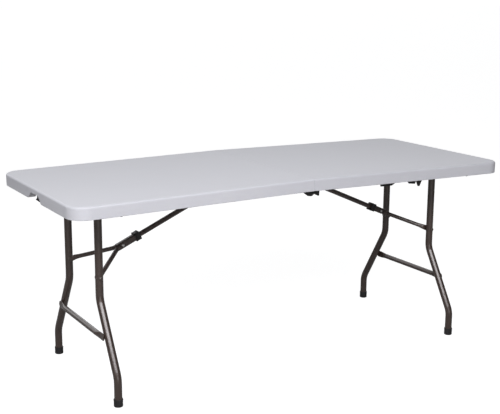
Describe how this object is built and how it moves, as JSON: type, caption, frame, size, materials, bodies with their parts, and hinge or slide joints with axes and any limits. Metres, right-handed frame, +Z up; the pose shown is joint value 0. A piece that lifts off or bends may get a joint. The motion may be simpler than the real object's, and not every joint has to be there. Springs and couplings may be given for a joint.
{
  "type": "folding table",
  "caption": "Fold-in-half table with a pale moulded top and two tubular steel leg frames that fold under it on locking knee braces.",
  "frame": {"origin": "on the floor under the middle of the table", "axes": "+X along the table's length towards the half with the transport hook, +Y towards its back, +Z up"},
  "size_m": [1.8294, 0.74, 0.74],
  "materials": {
    "moulded_top": "fine-grained moulded polyethylene, light grey",
    "coated_steel": "dark brown-grey powder coat",
    "black_steel": "black powder coat",
    "black_plastic": "moulded, slightly worn",
    "zinc": "bright zinc plated"
  },
  "bodies": {
    "left_half": {"brace_clevis_left": "black_steel", "brace_pin_left": "zinc", "cross_member_left": "black_steel", "handle_mount": "black_plastic", "hinge_leaf_left_back": "black_steel", "hinge_leaf_left_front": "black_steel", "hinge_pin_back": "black_steel", "hinge_pin_front": "black_steel", "latch_stud": "zinc", "rail_left_back": "black_steel", "rail_left_front": "black_steel", "rail_screw_left_back_1": "zinc", "rail_screw_left_back_2": "zinc", "rail_screw_left_front_1": "zinc", "rail_screw_left_front_2": "zinc", "top_left": "moulded_top"},
    "right_half": {"brace_clevis_right": "black_steel", "brace_pin_right": "zinc", "cross_member_right": "black_steel", "hinge_leaf_right_back": "black_steel", "hinge_leaf_right_front": "black_steel", "rail_right_back": "black_steel", "rail_right_front": "black_steel", "rail_screw_right_back_1": "zinc", "rail_screw_right_back_2": "zinc", "rail_screw_right_front_1": "zinc", "rail_screw_right_front_2": "zinc", "top_right": "moulded_top"},
    "left_leg_frame": {"crossbar_left": "coated_steel", "foot_cap_left_back": "black_plastic", "foot_cap_left_front": "black_plastic", "leg_axle_left": "coated_steel", "leg_bolt_left_back": "coated_steel", "leg_bolt_left_front": "coated_steel", "leg_left_back": "coated_steel", "leg_left_front": "coated_steel"},
    "right_leg_frame": {"crossbar_right": "coated_steel", "foot_cap_right_back": "black_plastic", "foot_cap_right_front": "black_plastic", "leg_axle_right": "coated_steel", "leg_bolt_right_back": "coated_steel", "leg_bolt_right_front": "coated_steel", "leg_right_back": "coated_steel", "leg_right_front": "coated_steel"},
    "left_brace_tube": {"brace_tube_left": "coated_steel"},
    "right_brace_tube": {"brace_tube_right": "coated_steel"},
    "left_yoke": {"knee_channel_left": "coated_steel", "knee_rivet_left": "zinc", "yoke_arm_left_back": "coated_steel", "yoke_arm_left_front": "coated_steel"},
    "right_yoke": {"knee_channel_right": "coated_steel", "knee_rivet_right": "zinc", "yoke_arm_right_back": "coated_steel", "yoke_arm_right_front": "coated_steel"},
    "left_lock_ring": {"lock_ring_left": "coated_steel"},
    "right_lock_ring": {"lock_ring_right": "coated_steel"},
    "carry_handle": {"carry_handle": "black_plastic"},
    "transport_latch": {"latch_hook": "black_steel", "latch_pin": "black_steel"}
  },
  "joints": [
    {"name": "centre_fold", "type": "hinge", "parent": "left_half", "child": "right_half", "pos_m": [0, 0, 0.686], "axis": [0, 1, 0], "range_deg": [0, 90]},
    {"name": "left_leg_fold", "type": "hinge", "parent": "left_half", "child": "left_leg_frame", "pos_m": [-0.74215, 0, 0.69229], "axis": [0, -1, 0], "range_deg": [0, 90.75]},
    {"name": "left_brace_swing", "type": "hinge", "parent": "left_half", "child": "left_brace_tube", "pos_m": [-0.09427, 0, 0.70577], "axis": [0, 1, 0], "range_deg": [0, 22.4]},
    {"name": "left_knee_fold", "type": "hinge", "parent": "left_brace_tube", "child": "left_yoke", "pos_m": [-0.59054, 0, 0.48747], "axis": [0, -1, 0], "range_deg": [0, 180.1]},
    {"name": "left_lock_ring_slide", "type": "slide", "parent": "left_brace_tube", "child": "left_lock_ring", "axis": [0.9154, 0, 0.4026], "range_m": [0, 0.246]},
    {"name": "right_leg_fold", "type": "hinge", "parent": "right_half", "child": "right_leg_frame", "pos_m": [0.74215, 0, 0.69229], "axis": [0, 1, 0], "range_deg": [0, 90.75]},
    {"name": "right_brace_swing", "type": "hinge", "parent": "right_half", "child": "right_brace_tube", "pos_m": [0.09427, 0, 0.70577], "axis": [0, -1, 0], "range_deg": [0, 22.4]},
    {"name": "right_knee_fold", "type": "hinge", "parent": "right_brace_tube", "child": "right_yoke", "pos_m": [0.59054, 0, 0.48747], "axis": [0, 1, 0], "range_deg": [0, 180.1]},
    {"name": "right_lock_ring_slide", "type": "slide", "parent": "right_brace_tube", "child": "right_lock_ring", "axis": [-0.9154, 0, 0.4026], "range_m": [0, 0.246]},
    {"name": "carry_handle_swing", "type": "hinge", "parent": "left_half", "child": "carry_handle", "pos_m": [-0.88111, 0, 0.68847], "axis": [0, 1, 0], "range_deg": [0, 105]},
    {"name": "transport_latch_swing", "type": "hinge", "parent": "right_half", "child": "transport_latch", "pos_m": [0.35215, -0.348, 0.69539], "axis": [0, 1, 0], "range_deg": [0, 25]}
  ],
  "couplings": [
    {"joint": "left_brace_swing", "follows": "left_leg_fold", "ratio": 0.24498},
    {"joint": "left_knee_fold", "follows": "left_leg_fold", "ratio": 1.9835},
    {"joint": "left_lock_ring_slide", "follows": "left_leg_fold", "m_per_rad": 0.155},
    {"joint": "right_brace_swing", "follows": "right_leg_fold", "ratio": 0.24498},
    {"joint": "right_knee_fold", "follows": "right_leg_fold", "ratio": 1.9835},
    {"joint": "right_lock_ring_slide", "follows": "right_leg_fold", "m_per_rad": 0.155}
  ]
}
